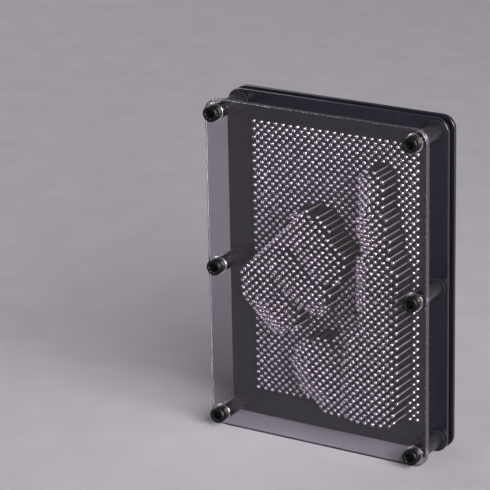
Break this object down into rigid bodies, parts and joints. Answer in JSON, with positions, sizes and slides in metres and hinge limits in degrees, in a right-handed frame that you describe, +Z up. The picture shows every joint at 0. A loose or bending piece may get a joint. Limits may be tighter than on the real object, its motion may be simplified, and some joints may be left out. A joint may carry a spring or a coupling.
{
  "type": "pin art impression toy",
  "caption": "Field of loose steel pins sliding in perforated plates, behind a clear cover that stands off on screws, so that the pins keep a hand's impression.",
  "frame": {"origin": "middle of the width and of the overall depth, on the surface that the plates' bottom edges stand on", "axes": "+Z up, -Y out of the clear cover towards the viewer, +X to the viewer's right"},
  "size_m": [0.127, 0.057, 0.177],
  "materials": {
    "clear_acrylic": "clear polished",
    "plate_black": "semi-gloss",
    "frame_black": "matte",
    "post_black": "gloss",
    "screw_black": "black oxide",
    "rubber_black": "matte",
    "washer_steel": "bright",
    "pin_steel": "nickel plated"
  },
  "bodies": {
    "frame": {"clear_cover": "clear_acrylic", "front_plate": "plate_black", "spacer_frame": "frame_black", "rear_plate": "plate_black", "screw_top_left": "screw_black", "screw_top_right": "screw_black", "screw_middle_left": "screw_black", "screw_middle_right": "screw_black", "screw_bottom_left": "screw_black", "screw_bottom_right": "screw_black", "washer_top_left": "washer_steel", "washer_top_right": "washer_steel", "washer_middle_left": "washer_steel", "washer_middle_right": "washer_steel", "washer_bottom_left": "washer_steel", "washer_bottom_right": "washer_steel", "post_top_left": "post_black", "post_top_right": "post_black", "post_middle_left": "post_black", "post_middle_right": "post_black", "post_bottom_left": "post_black", "post_bottom_right": "post_black", "collar_top_left": "rubber_black", "collar_top_right": "rubber_black", "collar_middle_left": "rubber_black", "collar_middle_right": "rubber_black", "collar_bottom_left": "rubber_black", "collar_bottom_right": "rubber_black", "nut_top_left": "screw_black", "nut_top_right": "screw_black", "nut_middle_left": "screw_black", "nut_middle_right": "screw_black", "nut_bottom_left": "screw_black", "nut_bottom_right": "screw_black"},
    "pins_top_left": {"pins_top_left": "pin_steel"},
    "pins_top_middle": {"pins_top_middle": "pin_steel"},
    "pins_top_right": {"pins_top_right": "pin_steel"},
    "pins_corner_right": {"pins_corner_right": "pin_steel"},
    "pins_thumb_tip": {"pins_thumb_tip": "pin_steel"},
    "pins_upper_left": {"pins_upper_left": "pin_steel"},
    "pins_upper_middle": {"pins_upper_middle": "pin_steel"},
    "pins_beside_thumb": {"pins_beside_thumb": "pin_steel"},
    "pins_thumb_root": {"pins_thumb_root": "pin_steel"},
    "pins_index_finger_1": {"pins_index_finger_1": "pin_steel"},
    "pins_right_edge": {"pins_right_edge": "pin_steel"},
    "pins_left_edge": {"pins_left_edge": "pin_steel"},
    "pins_knuckles": {"pins_knuckles": "pin_steel"},
    "pins_index_finger_2": {"pins_index_finger_2": "pin_steel"},
    "pins_thumb_pad_1": {"pins_thumb_pad_1": "pin_steel"},
    "pins_middle_finger": {"pins_middle_finger": "pin_steel"},
    "pins_thumb_web": {"pins_thumb_web": "pin_steel"},
    "pins_ring_finger": {"pins_ring_finger": "pin_steel"},
    "pins_thumb_pad_2": {"pins_thumb_pad_2": "pin_steel"},
    "pins_palm_hollow": {"pins_palm_hollow": "pin_steel"},
    "pins_palm_edge": {"pins_palm_edge": "pin_steel"},
    "pins_lower_left": {"pins_lower_left": "pin_steel"},
    "pins_palm_1": {"pins_palm_1": "pin_steel"},
    "pins_heel": {"pins_heel": "pin_steel"},
    "pins_palm_2": {"pins_palm_2": "pin_steel"},
    "pins_bottom_left": {"pins_bottom_left": "pin_steel"}
  },
  "joints": [
    {"name": "top_left_slide", "type": "slide", "parent": "frame", "child": "pins_top_left", "axis": [0, -1, 0], "range_m": [0, 0.0178]},
    {"name": "top_middle_slide", "type": "slide", "parent": "frame", "child": "pins_top_middle", "axis": [0, -1, 0], "range_m": [0, 0.0178]},
    {"name": "top_right_slide", "type": "slide", "parent": "frame", "child": "pins_top_right", "axis": [0, -1, 0], "range_m": [0, 0.0178]},
    {"name": "corner_right_slide", "type": "slide", "parent": "frame", "child": "pins_corner_right", "axis": [0, -1, 0], "range_m": [0, 0.0178]},
    {"name": "thumb_tip_slide", "type": "slide", "parent": "frame", "child": "pins_thumb_tip", "axis": [0, -1, 0], "range_m": [-0.0123, 0.0033]},
    {"name": "upper_left_slide", "type": "slide", "parent": "frame", "child": "pins_upper_left", "axis": [0, -1, 0], "range_m": [0, 0.0178]},
    {"name": "upper_middle_slide", "type": "slide", "parent": "frame", "child": "pins_upper_middle", "axis": [0, -1, 0], "range_m": [0, 0.0178]},
    {"name": "beside_thumb_slide", "type": "slide", "parent": "frame", "child": "pins_beside_thumb", "axis": [0, -1, 0], "range_m": [0, 0.0178]},
    {"name": "thumb_root_slide", "type": "slide", "parent": "frame", "child": "pins_thumb_root", "axis": [0, -1, 0], "range_m": [-0.0131, 0.0018]},
    {"name": "index_finger_1_slide", "type": "slide", "parent": "frame", "child": "pins_index_finger_1", "axis": [0, -1, 0], "range_m": [-0.0137, 0.0009]},
    {"name": "right_edge_slide", "type": "slide", "parent": "frame", "child": "pins_right_edge", "axis": [0, -1, 0], "range_m": [0, 0.0178]},
    {"name": "left_edge_slide", "type": "slide", "parent": "frame", "child": "pins_left_edge", "axis": [0, -1, 0], "range_m": [0, 0.0178]},
    {"name": "knuckles_slide", "type": "slide", "parent": "frame", "child": "pins_knuckles", "axis": [0, -1, 0], "range_m": [-0.0137, 0.0024]},
    {"name": "index_finger_2_slide", "type": "slide", "parent": "frame", "child": "pins_index_finger_2", "axis": [0, -1, 0], "range_m": [-0.0135, 0.0009]},
    {"name": "thumb_pad_1_slide", "type": "slide", "parent": "frame", "child": "pins_thumb_pad_1", "axis": [0, -1, 0], "range_m": [-0.0138, 0.001]},
    {"name": "middle_finger_slide", "type": "slide", "parent": "frame", "child": "pins_middle_finger", "axis": [0, -1, 0], "range_m": [-0.0133, 0.0012]},
    {"name": "thumb_web_slide", "type": "slide", "parent": "frame", "child": "pins_thumb_web", "axis": [0, -1, 0], "range_m": [-0.0037, 0.0132]},
    {"name": "ring_finger_slide", "type": "slide", "parent": "frame", "child": "pins_ring_finger", "axis": [0, -1, 0], "range_m": [-0.0117, 0.0034]},
    {"name": "thumb_pad_2_slide", "type": "slide", "parent": "frame", "child": "pins_thumb_pad_2", "axis": [0, -1, 0], "range_m": [-0.0143, 0.001]},
    {"name": "palm_hollow_slide", "type": "slide", "parent": "frame", "child": "pins_palm_hollow", "axis": [0, -1, 0], "range_m": [0, 0.0178]},
    {"name": "palm_edge_slide", "type": "slide", "parent": "frame", "child": "pins_palm_edge", "axis": [0, -1, 0], "range_m": [-0.0085, 0.0074]},
    {"name": "lower_left_slide", "type": "slide", "parent": "frame", "child": "pins_lower_left", "axis": [0, -1, 0], "range_m": [0, 0.0178]},
    {"name": "palm_1_slide", "type": "slide", "parent": "frame", "child": "pins_palm_1", "axis": [0, -1, 0], "range_m": [-0.0134, 0.0012]},
    {"name": "heel_slide", "type": "slide", "parent": "frame", "child": "pins_heel", "axis": [0, -1, 0], "range_m": [-0.0107, 0.0044]},
    {"name": "palm_2_slide", "type": "slide", "parent": "frame", "child": "pins_palm_2", "axis": [0, -1, 0], "range_m": [-0.0133, 0.0012]},
    {"name": "bottom_left_slide", "type": "slide", "parent": "frame", "child": "pins_bottom_left", "axis": [0, -1, 0], "range_m": [0, 0.0178]}
  ]
}
